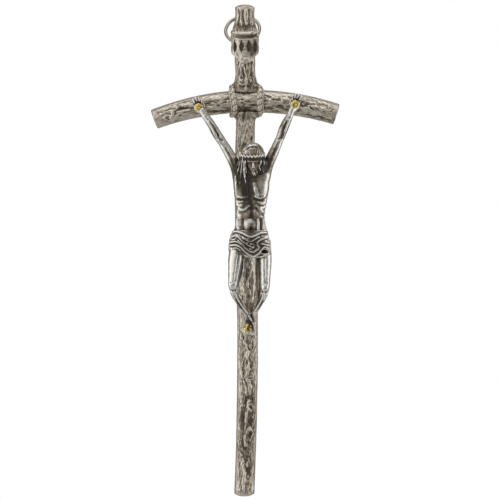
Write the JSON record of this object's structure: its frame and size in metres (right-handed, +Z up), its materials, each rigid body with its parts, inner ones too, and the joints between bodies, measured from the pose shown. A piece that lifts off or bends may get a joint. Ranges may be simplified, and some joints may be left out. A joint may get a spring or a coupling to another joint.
{
  "type": "wall crucifix",
  "caption": "Cast wall crucifix: branch-textured upright, bowed crossbeam with rope lashings, riveted figure, small scroll and a hanging ring on the back.",
  "frame": {"origin": "on the flat back of the upright, straight behind the middle of the crossing", "axes": "+Z up along the upright, +X to the right of somebody who faces the figure, +Y out of the flat back into the wall"},
  "size_m": [0.0616, 0.0255, 0.16],
  "materials": {
    "cross_metal": "satin",
    "figure_metal": "satin",
    "rivet_brass": "satin",
    "ring_wire": "satin"
  },
  "bodies": {
    "cross": {"upright": "cross_metal", "crossbeam": "cross_metal", "title_scroll": "cross_metal", "lashing_left": "cross_metal", "lashing_right": "cross_metal", "corpus": "figure_metal", "hand_rivet_left": "rivet_brass", "hand_rivet_right": "rivet_brass", "foot_rivet": "rivet_brass", "ring_eye": "cross_metal"},
    "ring": {"hanging_ring": "ring_wire"}
  },
  "joints": [
    {"name": "ring_swing", "type": "hinge", "parent": "cross", "child": "ring", "pos_m": [0, 0.0022, 0.0193], "axis": [0.9848, 0, 0.1736], "range_deg": [-146, 44]}
  ]
}
